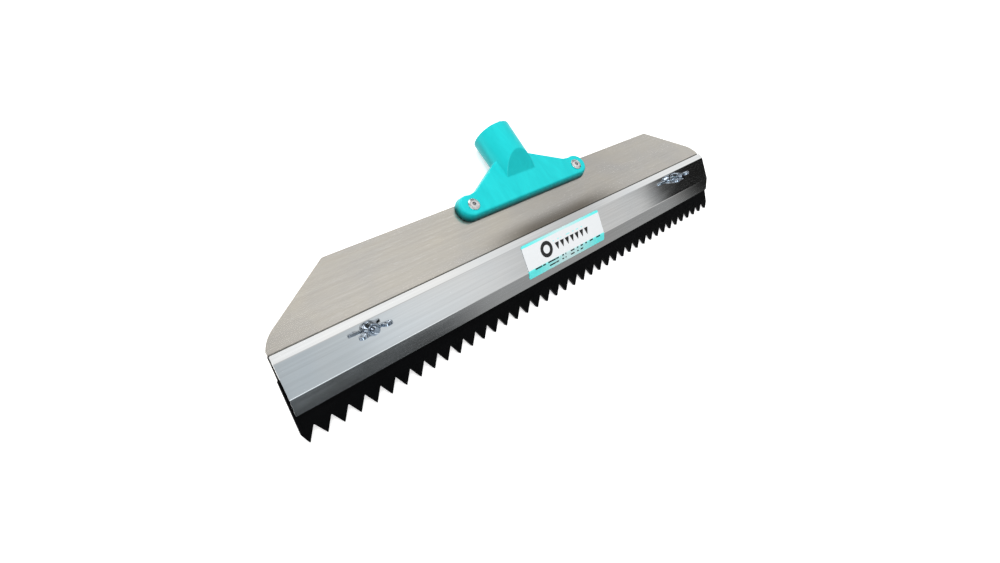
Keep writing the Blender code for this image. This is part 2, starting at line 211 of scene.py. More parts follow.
# ---------------------------------------------------------------- frames

def plate_frame():
    """The plate's frame in row coordinates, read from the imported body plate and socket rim."""
    x_axis = Vector((1.0, 0.0, 0.0))
    y_axis = Vector(frame["record"]["mounts"][0]["axis"]).normalized()
    z_axis = x_axis.cross(y_axis)
    points = [vertex.co for vertex in frame["nodes"]["body_plate"].data.vertices]
    origin = y_axis * max(p.dot(y_axis) for p in points)
    origin += z_axis * max(p.dot(z_axis) for p in points)
    turn = Matrix((x_axis, y_axis, z_axis)).transposed().to_4x4()
    return Matrix.Translation(origin) @ turn


PLATE = plate_frame()


def downhill(slope):
    """Unit vector towards the teeth, down a surface of this slope in degrees."""
    angle = math.radians(slope)
    return Vector((0.0, -math.cos(angle), -math.sin(angle)))


def outward(slope):
    """Unit normal of a surface of this slope."""
    angle = math.radians(slope)
    return Vector((0.0, -math.sin(angle), math.cos(angle)))


def on_flange(down, height):
    """A point at this distance down the flange and this height over it."""
    fold_line = Vector((0.0, -PLATE_DEPTH, 0.0))
    return fold_line + downhill(FLANGE_SLOPE) * down + outward(FLANGE_SLOPE) * height


def face_point(down):
    """A point on the clamp's face, at this distance from its upper edge."""
    start = Vector((0.0, *CLAMP_BACK)) + downhill(TOP_LIP[1]) * TOP_LIP[0]
    return start + downhill(FACE[1]) * down


def bolt_frame(side):
    """The frame of a bolt: z out along it, from the clamp's face, and x along the tool."""
    place = face_point(BOLT_DOWN_FACE)
    place.x = side * BOLT_SPACING / 2
    z_axis = outward(BOLT_SLOPE)
    x_axis = Vector((1.0, 0.0, 0.0))
    turn = Matrix((x_axis, z_axis.cross(x_axis), z_axis)).transposed().to_4x4()
    return Matrix.Translation(place) @ turn


def rivet_frame(side):
    """The frame of a rivet: z out along it, from the plate's top face."""
    return Matrix.Translation((side * RIVET_X, RIVET_Y, 0.0))


# ---------------------------------------------------------------- mesh tools

def make_object(name, bm, place=None):
    """Turns a bmesh, built in the frame place of the plate's frame, into an object."""
    bmesh.ops.recalc_face_normals(bm, faces=bm.faces)
    bm.transform(PLATE @ (place or Matrix.Identity(4)))
    mesh = bpy.data.meshes.new(name)
    bm.to_mesh(mesh)
    bm.free()
    mesh.shade_smooth()
    mesh.set_sharp_from_angle(angle=SHARP_ANGLE)
    obj = bpy.data.objects.new(name, mesh)
    bpy.context.scene.collection.objects.link(obj)
    return obj


def combine(target, tool, operation):
    """Joins tool to target, or cuts it away, and removes tool."""
    modifier = target.modifiers.new(operation.title(), "BOOLEAN")
    modifier.operation = operation
    modifier.object = tool
    settle(target)
    bpy.data.objects.remove(tool, do_unlink=True)


def settle(obj):
    """Replaces an object's mesh by what its modifiers make of it."""
    bpy.context.view_layer.update()
    graph = bpy.context.evaluated_depsgraph_get()
    made = bpy.data.meshes.new_from_object(obj.evaluated_get(graph), depsgraph=graph)
    made.name = obj.name
    obj.modifiers.clear()
    obj.data = made


def bevel(obj, width, segments=2):
    """Breaks an object's sharp edges, and keeps its flat faces' shading flat."""
    modifier = obj.modifiers.new("Edge", "BEVEL")
    modifier.width = width
    modifier.segments = segments
    modifier.limit_method = "ANGLE"
    modifier.angle_limit = SHARP_ANGLE
    modifier.harden_normals = True
    obj.data.shade_smooth()
    settle(obj)


def melt(obj, voxel, rounds, keep):
    """Remeshes an object finely, rounds its edges off as moulding does, and keeps this share."""
    remesh = obj.modifiers.new("Remesh", "REMESH")
    remesh.mode = "VOXEL"
    remesh.voxel_size = voxel
    remesh.use_smooth_shade = True
    smooth = obj.modifiers.new("Round", "SMOOTH")
    smooth.factor = 0.5
    smooth.iterations = rounds
    thin = obj.modifiers.new("Thin", "DECIMATE")
    thin.ratio = keep
    settle(obj)
    obj.data.shade_smooth()


def loft(rings, closed=False):
    """A bmesh through rings of equal length: ends capped, or the last ring joined to the first."""
    bm = bmesh.new()
    loops = [[bm.verts.new(point) for point in ring] for ring in rings]
    pairs = list(zip(loops, loops[1:]))
    if closed:
        pairs.append((loops[-1], loops[0]))
    for lower, upper in pairs:
        count = len(lower)
        for i in range(count):
            j = (i + 1) % count
            bm.faces.new((lower[i], lower[j], upper[j], upper[i]))
    if not closed:
        bm.faces.new(reversed(loops[0]))
        bm.faces.new(loops[-1])
    return bm


def ring(radius, height, sides):
    """Points of a circle about Z."""
    turns = [2 * math.pi * i / sides for i in range(sides)]
    return [Vector((radius * math.cos(a), radius * math.sin(a), height)) for a in turns]


def square_ring(side, height, sides):
    """Points of a square about Z, at the same angles as ring's, so the two can be lofted."""
    points = []
    for point in ring(1.0, 0.0, sides):
        reach = side / 2 / max(abs(point.x), abs(point.y))
        points.append(Vector((point.x * reach, point.y * reach, height)))
    return points


def turned(profile, sides, closed=False):
    """A bmesh turned about Z from (radius, height) points."""
    return loft([ring(radius, height, sides) for radius, height in profile], closed)


def arc(centre, radius, start, end, steps):
    """(radius, height) points of an arc, from angle start to angle end in degrees."""
    angles = [math.radians(start + (end - start) * i / steps) for i in range(steps + 1)]
    return [(centre[0] + radius * math.cos(a), centre[1] + radius * math.sin(a)) for a in angles]


def rounded(corners, radii, steps):
    """A polyline with its inner corners turned into arcs."""
    points = [Vector(corners[0])]
    for before, corner, after, radius in zip(corners, corners[1:], corners[2:], radii):
        corner = Vector(corner)
        to_before = (Vector(before) - corner).normalized()
        to_after = (Vector(after) - corner).normalized()
        half = to_before.angle(to_after) / 2
        centre = corner + (to_before + to_after).normalized() * radius / math.sin(half)
        first = corner + to_before * radius / math.tan(half) - centre
        last = corner + to_after * radius / math.tan(half) - centre
        for i in range(steps + 1):
            points.append(centre + first.slerp(last, i / steps) * radius)
    points.append(Vector(corners[-1]))
    return points


class Fold:
    """A folded sheet's outer surface in section: straight runs joined by bends.

    runs are (length, slope) pairs from start on, and marks the distances that need a section.
    """

    def __init__(self, start, runs, radius):
        self.pieces = []
        self.marks = [0.0]
        point = Vector((0.0, *start))
        travelled = 0.0
        trim = 0.0
        for i, (length, slope) in enumerate(runs):
            last = i == len(runs) - 1
            turn = 0.0 if last else math.radians(runs[i + 1][1] - slope)
            next_trim = radius * math.tan(turn / 2)
            straight = length - trim - next_trim
            self.pieces.append((travelled, straight, point, slope, None))
            point = point + downhill(slope) * straight
            travelled += straight
            if last:
                self.marks.append(travelled)
                break
            self.pieces.append((travelled, radius * turn, point, slope, radius))
            step = radius * turn / BEND_STEPS
            self.marks.append(travelled - BEND_HOLD)
            self.marks += [travelled + step * k for k in range(BEND_STEPS + 1)]
            self.marks.append(travelled + radius * turn + BEND_HOLD)
            centre = point - outward(slope) * radius
            point = centre + outward(runs[i + 1][1]) * radius
            travelled += radius * turn
            trim = next_trim

    def at(self, travelled):
        """The surface point and its slope at a distance along the sheet."""
        for start, length, point, slope, radius in self.pieces:
            if travelled <= start + length + 1e-9:
                break
        if radius is None:
            return point + downhill(slope) * (travelled - start), slope
        turned_to = slope + math.degrees((travelled - start) / radius)
        return point + (outward(turned_to) - outward(slope)) * radius, turned_to


def sheet_rings(fold, stations, thickness, centre_x=0.0):
    """Section rings of a sheet; stations are (distance along it, half width) pairs."""
    rings = []
    for travelled, half in stations:
        outer, slope = fold.at(travelled)
        inner = outer - outward(slope) * thickness
        rings.append(
            [
                Vector((centre_x + side * half, surface.y, surface.z))
                for side, surface in ((-1, outer), (1, outer), (1, inner), (-1, inner))
            ]
        )
    return rings


def corner_stations(marks, half, radius, round_start=True):
    """Stations of a strip of this half width whose corners are rounded off."""
    angles = [math.radians(90 * k / CORNER_STEPS) for k in range(CORNER_STEPS + 1)]
    corner = [(radius * (1 - math.cos(a)), half - radius * (1 - math.sin(a))) for a in angles]
    first = [(marks[0] + along, width) for along, width in corner]
    last = [(marks[-1] - along, width) for along, width in reversed(corner)]
    middle = [(mark, half) for mark in marks[1:-1]]
    return (first if round_start else [(marks[0], half)]) + middle + last


# ---------------------------------------------------------------- pieces

def cylinder_tool(radius, low, high, place):
    return make_object("tool", turned([(radius, low), (radius, high)], 48), place)


def make_body_plate():
    """The plate with its flange, two rivet holes and two square holes for the bolts' necks."""
    fold = Fold((0.0, 0.0), [(PLATE_DEPTH, 0.0), (FLANGE_LENGTH, FLANGE_SLOPE)], BEND_RADIUS)
    corners = [(0.0, 0.0), (BACK_HALF, 0.0), SIDE_CORNER, (FOLD_HALF, PLATE_DEPTH)]
    outline = rounded(corners, (BACK_CORNER_RADIUS, SIDE_CORNER_RADIUS), 20)
    bend_start = fold.marks[1]
    stations = [(p.y, p.x) for p in outline[1:] if p.y < bend_start]
    fold_half = stations[-1][1]
    stations += [(mark, fold_half) for mark in fold.marks[1:-1]]
    ends = [fold.marks[-2] + GAP, fold.marks[-1]]
    flange = corner_stations(ends, FLANGE_HALF, CLAMP_CORNER, round_start=False)
    body = make_object("stainless_body_plate", loft(sheet_rings(fold, stations + flange, SHEET)))
    for side in (-1, 1):
        tool = cylinder_tool(RIVET_HOLE, -5 * MM, 5 * MM, rivet_frame(side))
        combine(body, tool, "DIFFERENCE")
        rings = [square_ring(NECK_HOLE_SIDE, z, 8) for z in (-14 * MM, 0.0)]
        combine(body, make_object("tool", loft(rings), bolt_frame(side)), "DIFFERENCE")
    bevel(body, SHEET_EDGE)
    return body


def make_clamp_plate():
    """The twice-folded strip over the blade, with a hole for each bolt."""
    fold = Fold(CLAMP_BACK, [TOP_LIP, FACE, LOWER_LIP], BEND_RADIUS)
    stations = corner_stations(fold.marks, CLAMP_HALF, CLAMP_CORNER)
    rings = sheet_rings(fold, stations, SHEET, CLAMP_SHIFT)
    clamp = make_object("stainless_clamp_plate", loft(rings))
    for side in (-1, 1):
        tool = cylinder_tool(CLAMP_HOLE_RADIUS, -4 * MM, 4 * MM, bolt_frame(side))
        combine(clamp, tool, "DIFFERENCE")
    bevel(clamp, CLAMP_EDGE, 3)
    return clamp


def make_blade():
    """The rubber strip, in columns from its top edge to its teeth, each cut a little uneven."""
    draw = random.Random(11)
    half_pitch = TOOTH_PITCH / 2
    flank = math.radians(90) - math.atan2(half_pitch, TOOTH_DEPTH)
    swing = [flank * (2 * k / TOOTH_ARC_STEPS - 1) for k in range(TOOTH_ARC_STEPS + 1)]
    start = -BLADE_HALF
    columns = [(start, FIRST_RISE)]
    for i in range(TOOTH_COUNT):
        tip = start + FIRST_TIP + i * TOOTH_PITCH
        lean = draw.uniform(-TOOTH_LEAN, TOOTH_LEAN)
        worn = draw.uniform(0.0, TOOTH_WEAR)
        for angle in swing:
            rise = worn + TIP_RADIUS * (1 - math.cos(angle))
            columns.append((tip + lean + TIP_RADIUS * math.sin(angle), rise))
        if i == TOOTH_COUNT - 1:
            break
        for angle in swing:
            rise = TOOTH_DEPTH - VALLEY_RADIUS * (1 - math.cos(angle))
            columns.append((tip + half_pitch + VALLEY_RADIUS * math.sin(angle), rise))
    columns.append((BLADE_HALF, TOOTH_DEPTH * (BLADE_HALF - tip) / half_pitch))
    rings = []
    for x, rise in columns:
        low = BLADE_TIP - rise
        section = []
        for down, height in ((BLADE_TOP, 1), (low, 1), (low, 0), (BLADE_TOP, 0)):
            point = on_flange(down, GAP + height * BLADE_THICK)
            section.append(Vector((x, point.y, point.z)))
        rings.append(section)
    blade = make_object("rubber_blade", loft(rings))
    bevel(blade, BLADE_EDGE)
    return blade


def base_outline(grow, height):
    """The socket base in plan, from its right lobe round to its left, grown by the draft."""
    lobe = LOBE_RADIUS + grow
    web = grow / 2
    right = []
    for i in range(LOBE_STEPS + 1):
        angle = math.radians(-90 + LOBE_SWEEP * i / LOBE_STEPS)
        right.append((LOBE_X + lobe * math.cos(angle), LOBE_Y + lobe * math.sin(angle)))
    right.append((WEB_START[0] + 2 * MM, WEB_START[1] + web))
    right.append((WEB_START[0], WEB_START[1] + web + 0.25 * MM))
    right.append((WEB_START[0] - 1.5 * MM, WEB_START[1] + web + 0.9 * MM))
    right.append((WEB_END[0] + web, WEB_END[1] + web))
    left = [(-x, y) for x, y in reversed(right)]
    return [Vector((x, y, height)) for x, y in right + left]


def make_socket():
    """The moulded socket: base, tube with its flat nose, blind bore with a lead-in, rivet holes."""
    profile = [
        (1.0, SOCKET_LIFT),
        (0.93, 0.7 * MM),
        (0.85, 1.3 * MM),
        (0.25, SOCKET_BASE - 1.0 * MM),
    ]
    rings = [base_outline(BASE_DRAFT * share, height) for share, height in profile]
    rings.append(base_outline(0.0, SOCKET_BASE - 0.35 * MM))
    rings.append(base_outline(-0.35 * MM, SOCKET_BASE))
    socket = make_object("moulded_socket", loft(rings))
    axis = Matrix.Translation((0.0, 0.0, TUBE_AXIS_Z)) @ Matrix.Rotation(math.radians(-90), 4, "X")
    profile = [
        (TUBE_FRONT_RADIUS - 1.5 * MM, TUBE_FRONT),
        (TUBE_FRONT_RADIUS, TUBE_FRONT + 1.5 * MM),
        (TUBE_MOUTH_RADIUS, TUBE_MOUTH),
    ]
    tube = make_object("tube", turned(profile, 96), axis)
    lean = Matrix.Rotation(math.radians(NOSE_SLOPE), 4, "X")
    place = Matrix.Translation((0.0, NOSE_Y, SOCKET_BASE)) @ lean
    nose = make_object("tool", loft([square_ring(0.12, z, 8) for z in (0.0, 0.06)]), place)
    combine(tube, nose, "DIFFERENCE")
    combine(socket, tube, "UNION")
    mouth = TUBE_MOUTH + 5 * MM
    lead = BORE_RADIUS + BORE_LEAD_IN
    profile = [
        (BORE_RADIUS - 0.6 * MM, TUBE_MOUTH - BORE_DEPTH),
        (BORE_RADIUS, TUBE_MOUTH - 1.2 * MM),
        (lead, TUBE_MOUTH),
        (lead, mouth),
    ]
    combine(socket, make_object("tool", turned(profile, 96), axis), "DIFFERENCE")
    for side in (-1, 1):
        tool = cylinder_tool(RIVET_HOLE, -2 * MM, 12 * MM, rivet_frame(side))
        combine(socket, tool, "DIFFERENCE")
    melt(socket, SOCKET_VOXEL, 4, 0.6)
    slope_web(socket)
    return socket


def slope_web(socket):
    """Lets the web's top face fall gently from the front bar towards the tube."""
    start, fall = WEB_FALL
    inverse = PLATE.inverted()
    for vertex in socket.data.vertices:
        point = inverse @ vertex.co
        clear_of_tube = math.hypot(point.x, point.z - TUBE_AXIS_Z) - TUBE_MOUTH_RADIUS
        on_top = min(1.0, max(0.0, (point.z - SOCKET_BASE + 1.5 * MM) / (1.4 * MM)))
        fade = min(1.0, max(0.0, clear_of_tube / (2.0 * MM)))
        drop = max(0.0, point.y - start) * math.tan(math.radians(fall))
        point.z -= drop * on_top * fade
        vertex.co = PLATE @ point


def make_rivet_body(name, side):
    """A set blind rivet: a domed flange over the socket, a hollow shank and a bulbed tail."""
    top = RIVET_TOP
    under = RIVET_UNDER
    edge = 0.3 * MM
    dome = 1.25 * MM - 2 * edge
    profile = [(RIVET_CORE, top + 0.95 * MM), (RIVET_CORE + 0.12 * MM, top + 1.2 * MM)]
    crown = RIVET_CORE + 0.35 * MM
    for i in range(9):
        share = i / 8
        radius = crown + (RIVET_HEAD - edge - crown) * share
        profile.append((radius, top + 2 * edge + dome * math.cos(share * math.pi / 2)))
    profile += arc((RIVET_HEAD - edge, top + edge), edge, 60, -90, 6)
    profile += [
        (RIVET_SHANK + 0.2 * MM, top),
        (RIVET_SHANK, top - 0.2 * MM),
        (RIVET_SHANK, under),
        (RIVET_SHANK * 1.35, under - 0.25 * MM),
        (RIVET_SHANK * 1.47, under - 0.8 * MM),
        (RIVET_SHANK * 1.5, under - 1.6 * MM),
        (RIVET_SHANK * 1.38, under - 2.5 * MM),
        (RIVET_SHANK * 1.15, under - 3.2 * MM),
        (RIVET_CORE + 0.2 * MM, under - 3.6 * MM),
        (RIVET_CORE, under - 3.4 * MM),
    ]
    return make_object(f"rivet_{name}", turned(profile, 64, closed=True), rivet_frame(side))


def make_mandrel(name, side):
    """What stays of the rivet's pin: its head below the tail, and its broken end in the flange."""
    top = RIVET_TOP
    low = RIVET_UNDER - 3.8 * MM
    profile = [
        (0.7 * MM, low - 1.9 * MM),
        (1.3 * MM, low - 1.75 * MM),
        (1.85 * MM, low - 1.35 * MM),
        (2.1 * MM, low - 0.9 * MM),
        (2.1 * MM, low - 0.4 * MM),
        (MANDREL_RADIUS, low),
        (MANDREL_RADIUS, top + 0.45 * MM),
        (MANDREL_RADIUS * 0.86, top + 0.62 * MM),
        (MANDREL_RADIUS * 0.5, top + 0.55 * MM),
        (MANDREL_RADIUS * 0.2, top + 0.68 * MM),
    ]
    return make_object(f"mandrel_{name}", turned(profile, 48), rivet_frame(side))


def thread_ring(height, depth, sides):
    """A section across an M5 thread: a circle whose radius falls from crest to root and back."""
    points = []
    for i in range(sides):
        angle = 2 * math.pi * i / sides
        phase = (height / THREAD_PITCH - i / sides) % 1.0
        wave = min(1.0, max(0.0, 1.3 * (1 - abs(2 * phase - 1)) - 0.15))
        radius = BOLT_RADIUS - depth * wave
        points.append(Vector((radius * math.cos(angle), radius * math.sin(angle), height)))
    return points


def make_bolt(name, side):
    """A carriage bolt with a domed head, a square neck and a real thread."""
    over_flange = (face_point(BOLT_DOWN_FACE) - on_flange(0, 0)).dot(outward(FLANGE_SLOPE))
    behind = -over_flange - SHEET - BOLT_BEHIND_FLANGE
    sides = 48
    low = behind - BOLT_HEAD_HEIGHT
    rings = []
    for i in range(1, 9):
        angle = math.radians(90 * i / 9)
        height = low + (BOLT_HEAD_HEIGHT - 0.5 * MM) * (1 - math.cos(angle))
        rings.append(ring(BOLT_HEAD_RADIUS * math.sin(angle), height, sides))
    rings.append(ring(BOLT_HEAD_RADIUS, behind - 0.45 * MM, sides))
    rings.append(ring(BOLT_HEAD_RADIUS, behind - 0.15 * MM, sides))
    rings.append(ring(BOLT_HEAD_RADIUS - 0.15 * MM, behind, sides))
    neck_end = behind + NECK_LENGTH
    rings.append(square_ring(NECK_SIDE, behind + 0.02 * MM, sides))
    rings.append(square_ring(NECK_SIDE, neck_end, sides))
    shank_start = neck_end + 0.1 * MM
    shank_end = BOLT_END - BOLT_CHAMFER
    count = int((shank_end - shank_start) / THREAD_PITCH * THREAD_RINGS_PER_TURN)
    for i in range(count + 1):
        height = shank_start + (shank_end - shank_start) * i / count
        depth = THREAD_DEPTH * min(1.0, (height - shank_start) / (2 * THREAD_PITCH))
        rings.append(thread_ring(height, depth, sides))
    for i in range(1, 7):
        share = i / 6
        points = thread_ring(shank_end + BOLT_CHAMFER * share, THREAD_DEPTH * (1 - share), sides)
        limit = BOLT_RADIUS - BOLT_CHAMFER * share
        rings.append([flatten(p, limit) for p in points])
    return make_object(f"bolt_{name}", loft(rings), bolt_frame(side))


def flatten(point, limit):
    """A point moved in to within this distance of Z."""
    share = min(1.0, limit / point.xy.length)
    return Vector((point.x * share, point.y * share, point.z))


def make_washer(name, side):
    """A flat washer with its four edges rounded."""
    low = WASHER_BASE
    high = WASHER_BASE + WASHER_THICK
    bore = THREAD_BORE + 0.1 * MM
    edge = 0.18 * MM
    profile = arc((bore + edge, low + edge), edge, 270, 180, 4)
    profile += arc((bore + edge, high - edge), edge, 180, 90, 4)
    profile += arc((WASHER_RADIUS - edge, high - edge), edge, 90, 0, 4)
    profile += arc((WASHER_RADIUS - edge, low + edge), edge, 0, -90, 4)
    return make_object(f"washer_{name}", turned(profile, 64, closed=True), bolt_frame(side))


def wing_outline(ear):
    """One wing in (reach, height), from the hub's foot out, round its ear's centre and back."""
    points = [(2.0 * MM, 1.0 * MM), (3.3 * MM, 1.0 * MM), (5.6 * MM, 1.9 * MM)]
    points += arc(ear, WING_ROUND, -50, 155, 20)
    points += [(5.0 * MM, HUB_HEIGHT - 0.1 * MM), (2.0 * MM, HUB_HEIGHT - 0.4 * MM)]
    return points


def make_wing_nut(name, side):
    """A cast wing nut: a tapered hub with two upswept wings, dished on both sides of their ears."""
    lift = Matrix.Translation((0.0, 0.0, NUT_BASE))
    yaw = Matrix.Rotation(math.radians(NUT_YAW[name]), 4, "Z")
    place = bolt_frame(side) @ lift @ yaw
    profile = [
        (HUB_BASE_RADIUS - 0.3 * MM, 0.0),
        (HUB_BASE_RADIUS, 0.35 * MM),
        (HUB_BASE_RADIUS, 0.9 * MM),
        (HUB_TOP_RADIUS, HUB_HEIGHT - 0.35 * MM),
        (HUB_TOP_RADIUS - 0.35 * MM, HUB_HEIGHT),
    ]
    nut = make_object(f"zinc_wing_nut_{name}", turned(profile, 64), place)
    half = WING_THICK / 2
    ear = Vector((WING_REACH - WING_ROUND, WING_TOP - WING_ROUND))
    outline = wing_outline(ear)
    for wing_side in (-1, 1):
        rings = [[Vector((wing_side * x, y, z)) for x, z in outline] for y in (-half, half)]
        combine(nut, make_object("wing", loft(rings), place), "UNION")
        for face in (-1, 1):
            ball = bmesh.new()
            bmesh.ops.create_icosphere(ball, subdivisions=4, radius=EAR_DISH_RADIUS)
            off = face * (half + EAR_DISH_RADIUS - EAR_DISH_DEPTH)
            spot = Matrix.Translation((wing_side * ear.x, off, ear.y))
            combine(nut, make_object("tool", ball, place @ spot), "DIFFERENCE")
    bore = turned([(THREAD_BORE, -1 * MM), (THREAD_BORE, 9 * MM)], 64)
    combine(nut, make_object("tool", bore, place), "DIFFERENCE")
    melt(nut, NUT_VOXEL, 4, 0.5)
    return nut


def make_label():
    """The label film, over the face and round its lower bend, with a map for its print."""
    offset = LABEL_AIR + LABEL_THICK
    start = face_point(LABEL_START) + outward(FACE[1]) * offset
    bend = math.radians(LOWER_LIP[1] - FACE[1]) / 2
    face_run = FACE[0] - LABEL_START + offset * math.tan(bend)
    runs = [(face_run, FACE[1]), (LABEL_ON_LIP, LOWER_LIP[1])]
    fold = Fold((start.y, start.z), runs, BEND_RADIUS + offset)
    stations = corner_stations(fold.marks, LABEL_HALF, LABEL_CORNER)
    bm = loft(sheet_rings(fold, stations, LABEL_THICK, LABEL_CENTRE))
    bm.verts.index_update()
    print_map = bm.loops.layers.uv.new("print")
    for face in bm.faces:
        for corner in face.loops:
            travelled = stations[corner.vert.index // 4][0]
            across = corner.vert.co.x - LABEL_CENTRE
            corner[print_map].uv = (across, travelled)
    return make_object("label_film", bm)


# ---------------------------------------------------------------- materials

class Nodes:
    """A node tree, with short calls for the nodes used here."""

    def __init__(self, tree):
        self.tree = tree

    def add(self, kind, **settings):
        node = self.tree.nodes.new(kind)
        for name, value in settings.items():
            setattr(node, name, value)
        return node

    def feed(self, socket, value):
        """Links a socket, or sets its value."""
        if isinstance(value, bpy.types.NodeSocket):
            self.tree.links.new(value, socket)
        elif isinstance(value, tuple) and len(value) == 3 and socket.type == "RGBA":
            socket.default_value = (*value, 1.0)
        else:
            socket.default_value = value

    def math(self, operation, a, b=0.0, clamp=False):
        node = self.add("ShaderNodeMath", operation=operation, use_clamp=clamp)
        self.feed(node.inputs[0], a)
        self.feed(node.inputs[1], b)
        return node.outputs[0]

    def times(self, a, b):
        return self.math("MULTIPLY", a, b)

    def span(self, value, low, high, to_low, to_high, smooth=False):
        """The value with low to high spread over to_low to to_high, and held beyond."""
        kind = "SMOOTHSTEP" if smooth else "LINEAR"
        node = self.add("ShaderNodeMapRange", interpolation_type=kind)
        self.feed(node.inputs["Value"], value)
        names = ("From Min", "From Max", "To Min", "To Max")
        for name, number in zip(names, (low, high, to_low, to_high)):
            node.inputs[name].default_value = number
        return node.outputs["Result"]

    def mix(self, share, a, b):
        """Colour b over colour a by share."""
        node = self.add("ShaderNodeMix", data_type="RGBA")
        self.feed(node.inputs["Factor"], share)
        self.feed(node.inputs[6], a)
        self.feed(node.inputs[7], b)
        return node.outputs[2]

    def blend(self, share, a, b):
        """Number b over number a by share."""
        node = self.add("ShaderNodeMix", data_type="FLOAT")
        self.feed(node.inputs["Factor"], share)
        self.feed(node.inputs["A"], a)
        self.feed(node.inputs["B"], b)
        return node.outputs[0]


class Shader(Nodes):
    """A material's nodes; their place is the plate's frame, in metres."""

    def __init__(self, name):
        self.material = bpy.data.materials.new(name)
        self.material.use_nodes = True
        super().__init__(self.material.node_tree)
        self.surface = self.tree.nodes["Principled BSDF"]
        source = self.add("ShaderNodeTexCoord").outputs["Object"]
        turn = self.add("ShaderNodeMapping")
        inverse = PLATE.inverted()
        turn.inputs["Location"].default_value = inverse.translation
        turn.inputs["Rotation"].default_value = inverse.to_euler()
        self.tree.links.new(source, turn.inputs["Vector"])
        self.place = turn.outputs["Vector"]

    def set(self, **values):
        """Sets the shader's own inputs; an underscore stands for a space."""
        for name, value in values.items():
            self.feed(self.surface.inputs[name.replace("_", " ")], value)

    def noise(self, size, stretch=(1.0, 1.0, 1.0), detail=2.0, rough=0.5, warp=0.0, off=0.0):
        """Noise from 0 to 1 whose grains are about this size, longer where stretch is larger."""
        scaled = self.add("ShaderNodeVectorMath", operation="MULTIPLY")
        self.feed(scaled.inputs[0], self.place)
        scaled.inputs[1].default_value = [1 / (size * s) for s in stretch]
        moved = self.add("ShaderNodeVectorMath", operation="ADD")
        self.feed(moved.inputs[0], scaled.outputs[0])
        moved.inputs[1].default_value = (off, off * 0.7, off * 1.3)
        node = self.add("ShaderNodeTexNoise")
        self.feed(node.inputs["Vector"], moved.outputs[0])
        node.inputs["Scale"].default_value = 1.0
        node.inputs["Detail"].default_value = detail
        node.inputs["Roughness"].default_value = rough
        node.inputs["Distortion"].default_value = warp
        return self.span(node.outputs["Fac"], 0.28, 0.72, 0.0, 1.0)

    def axis(self, letter, vector=None):
        """One coordinate of a vector, or of the place in the plate's frame."""
        node = self.add("ShaderNodeSeparateXYZ")
        self.feed(node.inputs[0], vector or self.place)
        return node.outputs[letter]

    def band(self, value, centre, half, soft):
        """1 within half of centre, falling to 0 over soft."""
        away = self.math("ABSOLUTE", self.math("SUBTRACT", value, centre))
        return self.span(away, half, half + soft, 1.0, 0.0, smooth=True)

    def bump(self, height, depth, normal=None):
        """A surface relief: height from 0 to 1 times depth."""
        node = self.add("ShaderNodeBump")
        node.inputs["Strength"].default_value = 1.0
        node.inputs["Distance"].default_value = depth
        self.feed(node.inputs["Height"], height)
        if normal:
            self.feed(node.inputs["Normal"], normal)
        return node.outputs["Normal"]


def stainless(name, warm, cool, rough, grain_depth, wave_depth):
    """Rolled stainless sheet: fine grain along the blade, streaks, clouds and light scratches."""
    shader = Shader(name)
    grain = shader.noise(0.22 * MM, (120.0, 1.0, 1.0), 3.0, 0.6)
    streak = shader.noise(1.6 * MM, (70.0, 1.0, 1.0), 3.0, 0.55, off=3.1)
    drawn = shader.noise(7.0 * MM, (30.0, 1.0, 1.0), 2.0, 0.5, off=7.7)
    cloud = shader.noise(38.0 * MM, (1.6, 1.0, 1.0), 3.0, 0.55, 0.6, off=1.9)
    scratch = shader.noise(0.5 * MM, (45.0, 1.0, 1.0), 1.0, 0.4, 1.6, off=12.4)
    scratch = shader.span(scratch, 0.90, 0.98, 0.0, 1.0)
    colour = shader.mix(cloud, warm, cool)
    colour = shader.mix(shader.span(streak, 0.0, 1.0, 0.0, 0.16), colour, (0.30, 0.29, 0.28))
    colour = shader.mix(shader.span(drawn, 0.3, 1.0, 0.0, 0.10), colour, (0.92, 0.91, 0.89))
    colour = shader.mix(shader.times(scratch, 0.25), colour, (0.95, 0.94, 0.92))
    roughness = shader.span(grain, 0.0, 1.0, rough - 0.03, rough + 0.03)
    roughness = shader.math("ADD", roughness, shader.span(cloud, 0.0, 1.0, -0.02, 0.03))
    roughness = shader.math("ADD", roughness, shader.span(drawn, 0.0, 1.0, -0.02, 0.02), clamp=True)
    normal = shader.bump(shader.noise(55.0 * MM, (2.0, 1.0, 1.0), 1.0, 0.4, off=5.0), wave_depth)
    normal = shader.bump(shader.mix(0.5, grain, streak), grain_depth, normal)
    shader.set(Metallic=1.0, Normal=normal)
    return shader, colour, roughness


